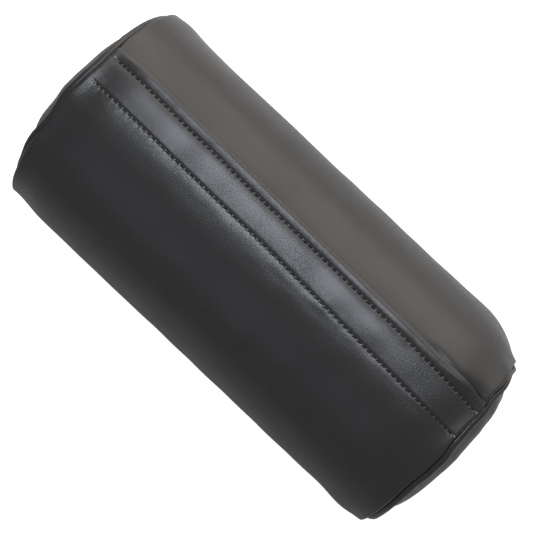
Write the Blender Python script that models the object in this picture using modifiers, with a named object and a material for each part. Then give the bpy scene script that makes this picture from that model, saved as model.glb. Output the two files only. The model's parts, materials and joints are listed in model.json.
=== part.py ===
"""Bolster pillow: a foam roll in a leatherette cover that closes with a hook-and-loop flap.

Metres, +Z up.  The roll lies along X, on the narrow flat that its own weight presses into it,
and the origin is on the floor under its middle.  Left is -X and right is +X.

Angles round the roll are measured from straight up, positive towards +Y, where the flap has
its folded edge.  An arc is a distance along the outer surface from the crease that the flap
turns on.  The cover's cloth is one strip: it starts as the underlap below the flap, goes down
the +Y side, under the roll and up the -Y side, and ends as the flap, whose edge is turned
under.  Between its two sewn ends the flap lifts, so that stretch is a piece of its own.
"""

import math

import bmesh
import bpy

# The roll
SEAM_LENGTH = 0.305        # along X, from end seam to end seam
RADIUS = 0.076             # of the cover's outer surface
REST_WIDTH = 0.044         # across the flat that it lies on
CROWN = 0.015              # how far the middle of an end panel stands beyond its seam

# Cloth, tapes and thread
CLOTH = 0.0012             # leatherette
LINER = 0.0005             # liner cloth
TAPE = 0.0012              # each of the two tapes, with its hooks or loops
TAPE_WIDTH = 0.025
THREAD = 0.0006
WADDING = 0.008            # round the core
WADDING_RIM = 0.003        # at the rim of a wadding end
CLEARANCE = 0.0003         # between two pieces that touch
RIM_CLEARANCE = 0.0007     # from the strip to what fits inside it, whose corners are at other angles

# The closure, as arcs from the crease
CREASE_ANGLE = math.radians(-0.6)
INNER_ROW = 0.007          # the row of stitches nearer the crease
ROW_SPACING = 0.020        # from the inner row to the edge row
EDGE_MARGIN = 0.0085       # from the edge row to the folded edge
TAPE_START = INNER_ROW + (ROW_SPACING - TAPE_WIDTH) / 2
FACING_MARGIN = 0.004      # how far the turned-under cloth reaches past the inner row
UNDERLAP_REACH = 0.008     # how far the underlap goes on past the crease
FLAP_RISE = 0.0024         # how proud of the roll the flap's folded edge stands
RAMP = 0.018               # the arc over which the underlap comes up to the surface again
FLAP_END = 0.030           # each sewn end of the flap, which doesn't lift
LOOP_TAPE_END = 0.012      # from an end seam to the loop tape
HOOK_TAPE_END = 0.002      # from the end of the lifting stretch to the hook tape

# How finely the round shapes are divided
STEP = math.radians(6.0)
FLAP_STEP = math.radians(2.0)
FOLD_STEPS = 8
DOME_RINGS = 4

# What follows from them
AXIS_HEIGHT = math.sqrt(RADIUS**2 - (REST_WIDTH / 2) ** 2)
EASE = RIM_CLEARANCE + THREAD + CLEARANCE           # room for thread between cover and liner
SEAM_THREAD_INSET = CLOTH + RIM_CLEARANCE + THREAD / 2
LINER_INSET = CLOTH + EASE
WADDING_INSET = LINER_INSET + LINER + CLEARANCE
CORE_RADIUS = RADIUS - WADDING_INSET - WADDING - CLEARANCE
CORE_END = SEAM_LENGTH / 2 - WADDING_INSET - WADDING_RIM - CLEARANCE
FOLD_RADIUS = CLOTH + CLEARANCE / 2    # outside of the flap's turned edge
HOOK_DEPTH = 2 * FOLD_RADIUS + CLEARANCE            # from the flap's outside to the hook tape
LOOP_DEPTH = HOOK_DEPTH + TAPE + CLEARANCE          # and to the loop tape
UNDERLAP_DEPTH = LOOP_DEPTH + TAPE + CLEARANCE      # and to the underlap
EDGE_ROW = INNER_ROW + ROW_SPACING
FLAP_WIDTH = EDGE_ROW + EDGE_MARGIN
FOLD_ANGLE = CREASE_ANGLE + FLAP_WIDTH / RADIUS
UNDERLAP_END_ANGLE = CREASE_ANGLE - UNDERLAP_REACH / RADIUS
RAMP_ANGLE = RAMP / RADIUS
REST_ANGLE = math.asin(REST_WIDTH / 2 / RADIUS)
FULL_TURN = 2 * math.pi
LIFTING_HALF = SEAM_LENGTH / 2 - FLAP_END

# An outline is drawn in its object's XY plane.  This turns X to world Y, Y to Z and Z to X.
ALONG_ROLL = (math.radians(90), 0, math.radians(90))

LEATHERETTE_LOOK = ("leatherette_black", (0.035, 0.034, 0.035), 0.42)
LINER_LOOK = ("liner_white", (0.72, 0.71, 0.68), 0.85)
WADDING_LOOK = ("wadding_white", (0.86, 0.86, 0.84), 0.95)
FOAM_LOOK = ("foam_cream", (0.78, 0.72, 0.55), 0.90)
TAPE_LOOK = ("tape_black", (0.02, 0.02, 0.022), 0.80)
THREAD_LOOK = ("thread_black", (0.05, 0.05, 0.055), 0.50)


# --- Shapes of the section ------------------------------------------------------------------

def point(angle, radius):
    """The section's (Y, Z) at an angle and a distance from the roll's axis."""
    return (radius * math.sin(angle), AXIS_HEIGHT + radius * math.cos(angle))


def angle_of(arc):
    return CREASE_ANGLE + arc / RADIUS


def smooth(share):
    """0 to 1 with level ends."""
    share = min(max(share, 0.0), 1.0)
    return share * share * (3 - 2 * share)


def flap_radius(angle):
    """The flap's outside: level with the roll at the crease, proud of it at the folded edge."""
    share = (angle - CREASE_ANGLE) / (FOLD_ANGLE - CREASE_ANGLE)
    return RADIUS + FLAP_RISE * min(max(share, 0.0), 1.0)


def sink(angle):
    """How far the closure presses in the underlap and what is inside it at an angle."""
    if angle > FOLD_ANGLE:
        share = smooth((FOLD_ANGLE + RAMP_ANGLE - angle) / RAMP_ANGLE)
        return share * (UNDERLAP_DEPTH - FLAP_RISE)
    if angle < UNDERLAP_END_ANGLE:
        share = smooth((angle - UNDERLAP_END_ANGLE + RAMP_ANGLE) / RAMP_ANGLE)
        return share * UNDERLAP_DEPTH
    return UNDERLAP_DEPTH + RADIUS - flap_radius(angle)


def pressed(place, height):
    """A section point, lifted to a height if it is below it: the flat that the roll lies on."""
    return (place[0], max(place[1], height))


def angles_between(start, end, step):
    """start, the whole multiples of step between them, and end."""
    first = math.floor(start / step) + 1
    inner = [k * step for k in range(first, math.ceil(end / step))]
    spare = step / 8
    return [start] + [a for a in inner if start + spare < a < end - spare] + [end]


def closed_section(inset):
    """The roll's outline at an inset from the cover's outside, pressed in below the closure.

    It runs from one corner of the flat at the bottom, over the top, to the other corner.
    """
    angles = angles_between(REST_ANGLE - math.pi, math.pi - REST_ANGLE, STEP)
    return [pressed(point(a, RADIUS - sink(a) - inset), inset) for a in angles]


def circle(radius):
    return [point(a, radius) for a in angles_between(-math.pi, math.pi, STEP)[:-1]]


def round_side(inset):
    """One side of the cover's strip, from the end of the underlap round to the crease."""
    down = angles_between(UNDERLAP_END_ANGLE, math.pi - REST_ANGLE, STEP)
    up = angles_between(math.pi + REST_ANGLE, CREASE_ANGLE + FULL_TURN, STEP)
    places = [point(a, RADIUS - sink(a) - inset) for a in down] + [point(a, RADIUS - inset) for a in up]
    return [pressed(p, inset) for p in places]


def flap_side(start, inset):
    """One side of the flap's strip, from an angle near the crease over the fold to its raw edge."""
    bend = FOLD_RADIUS - inset
    centre_angle = FOLD_ANGLE - FOLD_RADIUS / RADIUS
    over = angles_between(start, centre_angle, FLAP_STEP)
    places = [point(a, flap_radius(a) - inset) for a in over[:-1]]
    middle = point(centre_angle, flap_radius(centre_angle) - FOLD_RADIUS)
    steps = max(2, round(FOLD_STEPS * bend / FOLD_RADIUS))
    for k in range(steps + 1):
        turned = centre_angle + math.pi * k / steps
        places.append((middle[0] + bend * math.sin(turned), middle[1] + bend * math.cos(turned)))
    raw_edge = angle_of(INNER_ROW - FACING_MARGIN)
    under = angles_between(raw_edge, centre_angle, FLAP_STEP)[::-1]
    return places + [point(a, flap_radius(a) - FOLD_RADIUS - bend) for a in under[1:]]


def strip(outside, inside):
    """The outline of a strip of cloth from the points of its two sides."""
    return outside + inside[::-1]


def band(start_arc, end_arc, depth, thickness):
    """The outline of a tape that follows the flap at a depth below its outside."""
    angles = angles_between(angle_of(start_arc), angle_of(end_arc), FLAP_STEP)
    outside = [point(a, flap_radius(a) - depth) for a in angles]
    inside = [point(a, flap_radius(a) - depth - thickness) for a in angles]
    return strip(outside, inside)


# --- Making objects -------------------------------------------------------------------------

def clear_scene():
    for thing in list(bpy.data.objects):
        bpy.data.objects.remove(thing, do_unlink=True)


def new_collection(name):
    made = bpy.data.collections.new(name)
    bpy.context.scene.collection.children.link(made)
    return made


def material(look):
    name, colour, roughness = look
    if name in bpy.data.materials:
        return bpy.data.materials[name]
    made = bpy.data.materials.new(name)
    made.use_nodes = True
    shader = made.node_tree.nodes["Principled BSDF"]
    shader.inputs["Base Color"].default_value = (*colour, 1)
    shader.inputs["Roughness"].default_value = roughness
    shader.inputs["Metallic"].default_value = 0.0
    made.diffuse_color = (*colour, 1)
    return made


def place(name, data, look, location=(0, 0, 0), rotation=(0, 0, 0), parent=None):
    """A new object of the bolster, with its own look."""
    thing = bpy.data.objects.new(name, data)
    thing.parent = parent
    thing.location = location
    thing.rotation_euler = rotation
    data.materials.append(material(look))
    bolster.objects.link(thing)
    return thing


def welded(mesh):
    """Joins a curve mesh's loose caps and shades its round sides smooth."""
    work = bmesh.new()
    work.from_mesh(mesh)
    bmesh.ops.remove_doubles(work, verts=work.verts, dist=1e-6)
    bmesh.ops.recalc_face_normals(work, faces=work.faces)
    work.to_mesh(mesh)
    work.free()
    mesh.shade_smooth()
    mesh.set_sharp_from_angle(angle=math.radians(30))
    return mesh


def evaluated_mesh(thing, name):
    """The mesh of an object as its modifiers or curve settings shape it."""
    bolster.objects.link(thing)
    bpy.context.view_layer.update()
    shaped = thing.evaluated_get(bpy.context.evaluated_depsgraph_get())
    mesh = bpy.data.meshes.new_from_object(shaped)
    mesh.name = name
    mesh.materials.clear()
    bpy.data.objects.remove(thing, do_unlink=True)
    return mesh


def extruded(name, outlines, half_length, origin=(0, 0)):
    """A mesh with the given outlines as its section, drawn round a section point as its origin."""
    curve = bpy.data.curves.new(name, "CURVE")
    curve.dimensions = "2D"
    curve.fill_mode = "BOTH"
    curve.extrude = half_length
    for outline in outlines:
        spline = curve.splines.new("POLY")
        spline.points.add(len(outline) - 1)
        for spot, (y, z) in zip(spline.points, outline):
            spot.co = (y - origin[0], z - origin[1], 0, 1)
        spline.use_cyclic_u = True
    return welded(evaluated_mesh(bpy.data.objects.new(name, curve), name))


def turned(name, profile):
    """A surface turned round the roll's axis from (radius, X) points, outer side out."""
    mesh = bpy.data.meshes.new(name)
    mesh.from_pydata([(r, 0, x) for r, x in profile], [(k, k + 1) for k in range(len(profile) - 1)], [])
    thing = bpy.data.objects.new(name, mesh)
    screw = thing.modifiers.new("turn", "SCREW")
    screw.axis = "Z"
    screw.steps = screw.render_steps = round(FULL_TURN / STEP)
    screw.use_merge_vertices = True
    screw.merge_threshold = 0.00001
    return evaluated_mesh(thing, name)


def fitted(mesh, rim_radius, inset):
    """Moves a turned mesh's points in or out, so that its rim follows the pressed section.

    The mesh's XY plane is the section's, with the roll's axis at its origin.
    """
    for vertex in mesh.vertices:
        angle = math.atan2(vertex.co.x, vertex.co.y)
        radius = math.hypot(vertex.co.x, vertex.co.y)
        radius *= (RADIUS - sink(angle) - inset) / rim_radius
        place_here = pressed(point(angle, radius), inset)
        vertex.co.x = place_here[0]
        vertex.co.y = place_here[1] - AXIS_HEIGHT
    mesh.shade_smooth()
    mesh.set_sharp_from_angle(angle=math.radians(30))
    return mesh


def dome_profile(rim_radius, rim_x):
    """From the middle of an end to its rim, as (radius, X): a parabola CROWN high."""
    shares = [k / DOME_RINGS for k in range(DOME_RINGS + 1)]
    return [(rim_radius * u, rim_x + CROWN * (1 - u * u)) for u in shares]


def side_rotation(side):
    """Local Z to +X for the right end, and to -X for the left one, which is a half turn of it."""
    return ALONG_ROLL if side > 0 else (math.radians(90), 0, math.radians(-90))


# --- The pieces -----------------------------------------------------------------------------

def make_core():
    bpy.ops.mesh.primitive_cylinder_add(vertices=72, radius=CORE_RADIUS, depth=2 * CORE_END)
    made = bpy.context.object
    made.name = "foam_core"
    made.location = (0, 0, AXIS_HEIGHT)
    made.rotation_euler = ALONG_ROLL
    made.data.materials.append(material(FOAM_LOOK))
    made.data.shade_smooth()
    made.data.set_sharp_from_angle(angle=math.radians(30))
    for holder in list(made.users_collection):
        holder.objects.unlink(made)
    bolster.objects.link(made)


def make_wadding():
    outlines = [closed_section(WADDING_INSET), circle(CORE_RADIUS + CLEARANCE)]
    place("wadding_wrap", extruded("wadding_wrap", outlines, CORE_END), WADDING_LOOK, rotation=ALONG_ROLL)


def make_wadding_end(name, side):
    rim_x = SEAM_LENGTH / 2 - WADDING_INSET
    flat_x = CORE_END + CLEARANCE
    rim_radius = RADIUS - WADDING_INSET
    profile = dome_profile(rim_radius, rim_x) + [(rim_radius, flat_x), (0, flat_x)]
    mesh = fitted(turned(name, profile), rim_radius, WADDING_INSET)
    place_end(name, mesh, side, WADDING_LOOK)


def make_liner_sleeve():
    half = SEAM_LENGTH / 2 - LINER_INSET - CLEARANCE
    outlines = [closed_section(LINER_INSET), closed_section(LINER_INSET + LINER)]
    place("liner_sleeve", extruded("liner_sleeve", outlines, half), LINER_LOOK, rotation=ALONG_ROLL)


def make_shell_end(name, side, x_inset, rim_inset, thickness, look):
    """A domed panel: an open turned surface with its thickness on the inside."""
    rim_radius = RADIUS - rim_inset
    mesh = fitted(turned(name, dome_profile(rim_radius, SEAM_LENGTH / 2 - x_inset)), rim_radius, rim_inset)
    made = place_end(name, mesh, side, look)
    wall = made.modifiers.new("thickness", "SOLIDIFY")
    wall.thickness = thickness
    wall.offset = -1


def place_end(name, mesh, side, look):
    """Puts an end piece, drawn for the right end, on its end of the roll."""
    if side < 0:
        for vertex in mesh.vertices:
            vertex.co.z = -vertex.co.z
        mesh.flip_normals()
    return place(name, mesh, look, location=(0, 0, AXIS_HEIGHT), rotation=ALONG_ROLL)


def make_body_panel():
    """The cover's whole strip, less the stretch of flap that lifts."""
    outside = round_side(0) + flap_side(CREASE_ANGLE, 0)[1:]
    inside = round_side(CLOTH) + flap_side(CREASE_ANGLE, CLOTH)[1:]
    mesh = extruded("body_panel", [strip(outside, inside)], SEAM_LENGTH / 2)
    made = place("body_panel", mesh, LEATHERETTE_LOOK, rotation=ALONG_ROLL)

    below = (HOOK_DEPTH + UNDERLAP_DEPTH) / 2
    beyond = angle_of(FLAP_WIDTH + FOLD_RADIUS)
    angles = angles_between(CREASE_ANGLE, beyond, FLAP_STEP)
    lower = [point(a, flap_radius(a) - below) for a in angles]
    upper = [point(a, flap_radius(a) + 2 * FOLD_RADIUS) for a in angles]
    cutter = bpy.data.objects.new("flap_cutter", extruded("flap_cutter", [strip(upper, lower)], LIFTING_HALF))
    cutter.rotation_euler = ALONG_ROLL
    cutter.hide_render = True
    cutter.display_type = "WIRE"
    cutters.objects.link(cutter)
    cut = made.modifiers.new("lifting flap", "BOOLEAN")
    cut.operation = "DIFFERENCE"
    cut.solver = "EXACT"
    cut.object = cutter


def make_flap(hinge):
    """The stretch of flap that lifts, the hook tape under it and its two rows of stitches."""
    origin = (hinge.location.y, hinge.location.z)
    start = CREASE_ANGLE + CLEARANCE / RADIUS
    section = strip(flap_side(start, 0), flap_side(start, CLOTH))
    mesh = extruded("flap_panel", [section], LIFTING_HALF - CLEARANCE, origin)
    place("flap_panel", mesh, LEATHERETTE_LOOK, rotation=ALONG_ROLL, parent=hinge)

    section = band(TAPE_START, TAPE_START + TAPE_WIDTH, HOOK_DEPTH, TAPE)
    mesh = extruded("hook_tape", [section], LIFTING_HALF - HOOK_TAPE_END, origin)
    place("hook_tape", mesh, TAPE_LOOK, rotation=ALONG_ROLL, parent=hinge)

    for name, arc in (("topstitch_row_inner", INNER_ROW), ("topstitch_row_edge", EDGE_ROW)):
        angle = angle_of(arc)
        y, z = point(angle, flap_radius(angle) + CLEARANCE + THREAD / 2)
        row = thread_line(name, [(-LIFTING_HALF + CLEARANCE, 0, 0), (LIFTING_HALF - CLEARANCE, 0, 0)])
        place(name, row, THREAD_LOOK, location=(0, y - origin[0], z - origin[1]), parent=hinge)


def make_loop_tape():
    """The loop tape on the underlap, and the two rows that hold it, on the underlap's inside."""
    half = SEAM_LENGTH / 2 - LOOP_TAPE_END
    section = band(TAPE_START, TAPE_START + TAPE_WIDTH, LOOP_DEPTH, TAPE)
    place("loop_tape", extruded("loop_tape", [section], half), TAPE_LOOK, rotation=ALONG_ROLL)
    for name, arc in (("loop_stitch_row_inner", INNER_ROW), ("loop_stitch_row_edge", EDGE_ROW)):
        angle = angle_of(arc)
        y, z = point(angle, RADIUS - sink(angle) - SEAM_THREAD_INSET)
        place(name, thread_line(name, [(-half, 0, 0), (half, 0, 0)]), THREAD_LOOK, location=(0, y, z))


def thread_line(name, places, closed=False):
    """A thread as a round wire through the given points."""
    curve = bpy.data.curves.new(name, "CURVE")
    curve.dimensions = "3D"
    curve.bevel_depth = THREAD / 2
    curve.bevel_resolution = 1
    curve.use_fill_caps = not closed
    spline = curve.splines.new("POLY")
    spline.points.add(len(places) - 1)
    for spot, (x, y, z) in zip(spline.points, places):
        spot.co = (x, y, z, 1)
    spline.use_cyclic_u = closed
    return curve


def make_seam_thread(name, side):
    """The end seam's thread, a ring in the corner inside the cover."""
    x = side * (SEAM_LENGTH / 2 - SEAM_THREAD_INSET)
    ring = [(x, y, z) for y, z in closed_section(SEAM_THREAD_INSET)]
    place(name, thread_line(name, ring, closed=True), THREAD_LOOK)


clear_scene()
bolster = new_collection("bolster_pillow")
cutters = new_collection("cutters")
crease = bpy.data.objects.new("flap_crease", None)
crease.location = (0, *point(CREASE_ANGLE, RADIUS))
crease.empty_display_size = FLAP_WIDTH
bolster.objects.link(crease)

make_core()
make_wadding()
make_liner_sleeve()
make_body_panel()
make_flap(crease)
make_loop_tape()
for end, side in (("left", -1), ("right", 1)):
    make_wadding_end(f"wadding_end_{end}", side)
    make_shell_end(f"liner_end_{end}", side, LINER_INSET, WADDING_INSET, LINER, LINER_LOOK)
    make_shell_end(f"end_panel_{end}", side, 0, CLOTH + RIM_CLEARANCE, CLOTH, LEATHERETTE_LOOK)
    make_seam_thread(f"end_seam_thread_{end}", side)
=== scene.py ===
# %% [markdown]
# # A massage bolster in grained leatherette
# A bolster is a firm foam roll in a sewn cover.  This one has domed ends and a lapped flap along
# the top, with two rows of topstitching over a hook-and-loop tape.  The solids of the design
# come first, because every piece below takes its size and its place from them.

# %% Load the design
import json
import math

import bpy
import numpy as np
from mathutils import Matrix, Vector


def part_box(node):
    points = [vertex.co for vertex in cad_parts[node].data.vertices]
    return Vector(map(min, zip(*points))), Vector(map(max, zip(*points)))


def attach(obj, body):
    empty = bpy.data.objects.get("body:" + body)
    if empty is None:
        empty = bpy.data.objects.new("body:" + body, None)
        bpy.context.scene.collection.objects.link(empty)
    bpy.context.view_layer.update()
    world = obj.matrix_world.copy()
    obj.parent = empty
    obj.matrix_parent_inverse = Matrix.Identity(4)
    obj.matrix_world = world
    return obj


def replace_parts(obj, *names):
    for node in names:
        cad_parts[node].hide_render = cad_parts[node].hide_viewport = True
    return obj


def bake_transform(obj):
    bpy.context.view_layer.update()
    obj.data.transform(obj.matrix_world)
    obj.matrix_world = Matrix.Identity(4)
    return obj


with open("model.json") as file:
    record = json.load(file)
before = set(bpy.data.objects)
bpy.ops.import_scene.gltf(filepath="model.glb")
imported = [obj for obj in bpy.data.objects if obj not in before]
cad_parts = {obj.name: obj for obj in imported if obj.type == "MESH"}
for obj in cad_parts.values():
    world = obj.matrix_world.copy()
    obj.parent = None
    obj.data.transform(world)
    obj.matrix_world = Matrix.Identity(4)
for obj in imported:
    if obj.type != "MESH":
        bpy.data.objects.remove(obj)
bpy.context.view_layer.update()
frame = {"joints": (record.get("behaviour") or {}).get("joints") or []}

# %% [markdown]
# ## The sizes
# The roll is a cylinder along X.  A place on its skin is (x, angle): the angle is 0 at the top and
# grows towards +Y, where the flap's folded edge is.  An *arc* is a distance round the skin
# from the crease that the flap turns on.  The rows of stitches give their arcs by their boxes.

# %% Read the sizes from the design
panel_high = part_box("body_panel")[1]
HINGE = np.array(next(j for j in frame["joints"] if j["name"] == "flap_opening")["pos_m"])
HALF = float(panel_high[0])
RADIUS = float(panel_high[1])
CREASE = math.asin(HINGE[1] / RADIUS)
AXIS_Z = float(HINGE[2] - RADIUS * math.cos(CREASE))


def arc_of(node):
    """The arc of a thin node that runs along the roll, from the middle of its box."""
    low, high = (np.array(c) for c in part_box(node))
    y, z = ((low + high) / 2)[1:]
    return (math.atan2(y, z - AXIS_Z) - CREASE) * RADIUS


INNER_ROW = arc_of("topstitch_row_inner")
EDGE_ROW = arc_of("topstitch_row_edge")
TAPE_WIDTH = 0.025
TAPE_START = (INNER_ROW + EDGE_ROW - TAPE_WIDTH) / 2
FLAP_WIDTH = EDGE_ROW + 0.0085
CLOTH = 0.0011            # leatherette
SEAM_ROUND = 0.0015       # how tightly cloth turns into an end seam
STITCH = 0.00394          # from one stitch to the next
CROWN = 0.0135            # of an end panel's middle beyond its rim
END_INSET = 0.0012        # from an end seam to the last line of a panel, where its turn starts
END_NAMES = {-1: "left", 1: "right"}
ROWS = {"inner": INNER_ROW, "edge": EDGE_ROW}
print(f"radius {RADIUS:.4f}  half length {HALF:.4f}  rows at {INNER_ROW:.4f} and {EDGE_ROW:.4f}")

# %% [markdown]
# ## Helpers for curves of numbers
# Soft shapes are sums of smooth steps and bumps, so these few functions do most of the work.
# `ring_curve` runs a closed smooth curve through a few chosen heights round the roll: each
# height spreads as a bell, and the bells are shared out so that the curve is theirs at their angle.

# %% Steps, bumps and closed curves


def smooth(share):
    """0 to 1 with level ends: 3 s squared less 2 s cubed, with s held between 0 and 1."""
    share = np.clip(share, 0.0, 1.0)
    return share * share * (3 - 2 * share)


def bell(distance, width):
    """1 in the middle and near 0 past two widths: e to the minus square of distance by width."""
    return np.exp(-((distance / width) ** 2))


def turn_between(a, b):
    """The signed angle from b to a, from minus half a turn to half a turn."""
    return (a - b + np.pi) % (2 * np.pi) - np.pi


def ring_curve(knots, angles):
    """Heights in millimetres at (degrees, height) knots, joined smoothly round the roll.

    Between two knots the height goes from one to the other as a smooth step.
    """
    at = np.radians([k[0] for k in knots])
    height = np.array([k[1] for k in knots]) / 1000
    order = np.argsort(at)
    at = np.concatenate([at[order], at[order][:1] + 2 * np.pi])
    height = np.concatenate([height[order], height[order][:1]])
    wrapped = (np.asarray(angles) - at[0]) % (2 * np.pi) + at[0]
    k = np.clip(np.searchsorted(at, wrapped, side="right") - 1, 0, len(at) - 2)
    share = smooth((wrapped - at[k]) / (at[k + 1] - at[k]))
    return height[k] * (1 - share) + height[k + 1] * share


def waves(seed, count, longest, shortest):
    """A function of two lengths that adds up `count` sine waves of random directions and starts.

    Each wave is sin(2 pi (u cos d + v sin d) / wavelength + start), and the sum is made about 1 high.
    """
    rng = np.random.default_rng(seed)
    length = np.exp(rng.uniform(math.log(shortest), math.log(longest), count))
    way = rng.uniform(0, 2 * np.pi, count)
    start = rng.uniform(0, 2 * np.pi, count)

    def height(u, v):
        """The sum of the waves at lengths u and v."""
        phase = (np.multiply.outer(u, np.cos(way)) + np.multiply.outer(v, np.sin(way))) / length
        return np.sin(2 * np.pi * phase + start).sum(-1) / math.sqrt(count / 2)

    return height


print("ring curve through 0 and 1 mm:", ring_curve([(0, 0), (180, 1)], np.radians([0, 90, 180])))

# %% [markdown]
# ## The skin before it is filled
# A sewn tube is never a true cylinder.  The end seams pull it in, one corner stands out like an
# ear, another is worn round, and the seam wanders a little in and out.  These are all offsets of a
# cylinder that fade along the roll.  The band of the flap also runs slightly askew, so the angle
# of a line along the roll drifts with x inside a window over the flap.

# %% The slack skin
SKEW = math.radians(2.1)
SLACK = 0.0020                  # how much smaller than the roll the skin is before it is filled
INNER_ANGLE = CREASE + INNER_ROW / RADIUS
FOLD_ANGLE = CREASE + FLAP_WIDTH / RADIUS

# How far each seam stands out along the roll, in millimetres at degrees round it
SEAM_OUT = {
    -1: [(-170, -0.6), (-95, -1.0), (-75, -2.6), (-55, -2.6), (-36, -1.8), (-20, -3.2), (-6, -1.6),
         (3, -2.2), (14, -2.8), (26, -2.6), (36, -2.0), (60, -1.8), (95, -1.0), (140, -0.6)],
    1: [(-170, -0.6), (-95, -0.4), (-60, -1.2), (-30, -1.6), (-17, -0.4), (-9, -0.1), (0, -1.5),
        (14, -1.2), (25, -0.5), (33, -1.3), (42, -0.2), (56, -1.2), (66, -0.4), (90, 0.2), (110, -0.4),
        (150, -0.6)],
}
# How far each seam stands in from the roll's skin
SEAM_IN = {
    -1: [(-170, 1.2), (-100, 1.4), (-60, 0.8), (-20, 1.6), (-5, 0.4), (14, 1.8), (32, 1.0), (60, 1.2),
         (95, 0.8), (140, 1.2)],
    1: [(-170, 1.2), (-100, 1.5), (-60, 1.2), (-20, 1.8), (0, 1.2), (14, 1.4), (30, 2.0), (45, 3.0),
        (62, 6.5), (78, 11.5), (95, 14.0), (112, 11.0), (135, 3.0), (160, 1.4)],
}
SEAM_FADE = {-1: 0.018, 1: 0.033}  # how far along the roll each seam's pull-in reaches
SEAM_FADE_POWER = 2.3
TOP_FALL = 0.0030                  # how far the top falls to the right-hand seam
TOP_FALL_LENGTH = 0.050


def flap_window(angle):
    """1 over the stitched band, and 0 at the crease and well past the folded edge."""
    rise = smooth((angle - CREASE) / (INNER_ANGLE - CREASE))
    return rise * smooth((FOLD_ANGLE + 0.7 - angle) / 0.7)


def slack_skin(x, angle):
    """Points of the skin before it is filled, for x and angle grids of the same shape.

    The radius is the roll's less the slack, less each seam's pull-in times a power of (1 - distance
    from the seam / its reach), plus the ears.  The angle drifts along the flap, and x is moved out
    by the seam's own offset, which fades along the roll.
    """
    radius = np.full(x.shape, RADIUS - SLACK)
    along = x.copy()
    for side in (-1, 1):
        inward = HALF - side * x
        fade = np.clip(1 - inward / SEAM_FADE[side], 0, 1) ** SEAM_FADE_POWER
        radius -= fade * (ring_curve(SEAM_IN[side], angle) - SLACK)
        along += side * (1 - smooth(inward / 0.02)) * ring_curve(SEAM_OUT[side], angle)
    falling = 1 - smooth((HALF - x) / TOP_FALL_LENGTH)
    radius -= TOP_FALL * falling * bell(turn_between(angle, math.radians(10)), 0.50)
    ear = bell(x + HALF - 0.011, 0.013) * bell(turn_between(angle, math.radians(88)), 0.45)
    radius += 0.0030 * ear
    shoulder = bell(HALF - 0.014 - x, 0.012) * bell(turn_between(angle, math.radians(-88)), 0.40)
    radius += 0.0020 * shoulder
    radius += 0.0005 * bell(x + 0.09, 0.055) * bell(turn_between(angle, math.radians(-90)), 0.50)
    turned = angle - SKEW * x / HALF * flap_window(angle)
    y = radius * np.sin(turned)
    z = np.maximum(AXIS_Z + radius * np.cos(turned), 0.0)
    return np.stack([along, y, z], -1)


print("slack skin at the top middle:", slack_skin(np.zeros(1), np.zeros(1)))

# %% [markdown]
# ## Fill it: a cloth simulation
# Stuffing presses the cover out between the lines that hold it, which are the end seams and the
# flat that the roll lies on.  Blender's Cloth does the same with air pressure.  The mesh is a plain
# grid, so the result can be read back as a grid: that is why the panels can be cut from it
# afterwards at any fineness.  A move is capped, and the tube between the ends is then widened so
# that its middle comes out at the design's radius.

# %% Simulate the filled cover
ALONG_COUNT = 62
ROUND_COUNT = 96
CAP_RINGS = 14
CAP_SHARES = np.sin(np.linspace(0, np.pi / 2, CAP_RINGS + 1))
SLACK_CROWN = 0.72              # the share of the crown that the end panel is cut with
MOST_MOVE = 0.006               # that a point may make while the cover fills
FRAMES = 20


def grid_faces(rows, columns, closed=False, flip=False):
    """Quads of a grid of points numbered row by row; closed joins the last column to the first."""
    across = columns if closed else columns - 1
    r, c = np.meshgrid(np.arange(rows - 1), np.arange(across), indexing="ij")
    d = (c + 1) % columns
    near, far = r * columns, (r + 1) * columns
    quads = np.stack([near + c, near + d, far + d, far + c], -1).reshape(-1, 4)
    return quads[:, ::-1] if flip else quads


def add_mesh(name, points, faces):
    """A new mesh object at the origin from arrays of points and of faces."""
    mesh = bpy.data.meshes.new(name)
    mesh.from_pydata(points.tolist(), [], [list(f) for f in faces])
    mesh.update()
    thing = bpy.data.objects.new(name, mesh)
    bpy.context.scene.collection.objects.link(thing)
    return thing


def read_points(thing):
    """The points of an object as its modifiers leave them."""
    evaluated = thing.evaluated_get(bpy.context.evaluated_depsgraph_get())
    shaped = evaluated.to_mesh()
    flat = np.empty(len(shaped.vertices) * 3)
    shaped.vertices.foreach_get("co", flat)
    evaluated.to_mesh_clear()
    return flat.reshape(-1, 3)


def slack_cap(side, rim):
    """Rings of an end panel from near its middle to its rim: the rim drawn in to the middle, and domed.

    A point is middle + share x (rim - middle), and stands out by the slack crown x the root of
    (1 - share squared), as on an ellipse.  The rings crowd towards the rim: share is a sine.
    """
    middle = np.array([rim[:, 0].mean(), 0.0, AXIS_Z])
    share = CAP_SHARES[1:-1, None, None]
    rings = middle + share * (rim - middle)
    rings[..., 0] += side * CROWN * SLACK_CROWN * np.sqrt(1 - share[..., 0] ** 2)
    middle[0] += side * CROWN * SLACK_CROWN
    return middle, rings


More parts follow.
